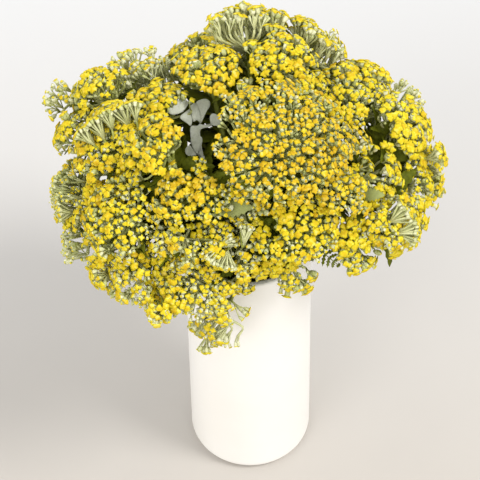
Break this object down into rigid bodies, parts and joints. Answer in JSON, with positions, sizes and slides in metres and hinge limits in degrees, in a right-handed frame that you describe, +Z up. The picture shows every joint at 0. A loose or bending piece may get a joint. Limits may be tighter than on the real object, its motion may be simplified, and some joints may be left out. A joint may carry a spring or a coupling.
{
  "type": "bunch of cut yarrow in a vase",
  "caption": "Bunch of cut yellow yarrow with domed flower heads, standing in water in a tall plain cylinder vase.",
  "frame": {"origin": "centre of the vase's flat underside", "axes": "+Z up along the vase's axis; -Y towards the open side of the bunch, with its hanging head; +X to the right seen from -Y"},
  "size_m": [0.2875, 0.2175, 0.3841],
  "materials": {
    "vase": "satin",
    "florets": "matte",
    "green_heads": "matte",
    "stems": "matte",
    "silver_leaf": "matte",
    "water": "gloss"
  },
  "bodies": {
    "root": {"vase": "vase", "head_crown_1": "florets", "head_crown_2": "florets", "head_back_left_1": "florets", "head_back_left_2": "florets", "head_back_right_1": "florets", "head_back_right_2": "florets", "head_right_back_1": "florets", "head_right_back_2": "green_heads", "head_right_top_1": "florets", "head_right_top_2": "florets", "head_right_front_1": "florets", "head_right_front_2": "florets", "head_front_1": "florets", "head_front_2": "florets", "head_front_3": "florets", "head_front_pale_1": "green_heads", "head_front_pale_2": "florets", "head_front_pale_3": "florets", "head_near_1": "florets", "head_near_2": "florets", "head_near_3": "florets", "head_left_near_1": "florets", "head_left_low_1": "florets", "head_left_low_2": "florets", "head_left_low_3": "green_heads", "head_left_1": "florets", "head_left_2": "green_heads", "head_left_3": "florets", "head_left_back_1": "florets", "head_left_back_2": "florets", "head_left_back_3": "green_heads", "head_top_left_1": "florets", "head_top_left_2": "florets", "head_behind_left_1": "florets", "head_behind_left_2": "florets", "head_behind_right_1": "florets", "head_behind_right_2": "florets", "silver_leaf": "silver_leaf", "stem_crown": "stems", "stem_back_left": "stems", "stem_back_right": "stems", "stem_right_back": "stems", "stem_right_top": "stems", "stem_right_front": "stems", "stem_front": "stems", "stem_front_pale": "stems", "stem_near": "stems", "stem_left_near": "stems", "stem_left_low": "stems", "stem_left": "stems", "stem_left_back": "stems", "stem_top_left": "stems", "stem_behind_left": "stems", "stem_behind_right": "stems", "water": "water"}
  },
  "joints": []
}
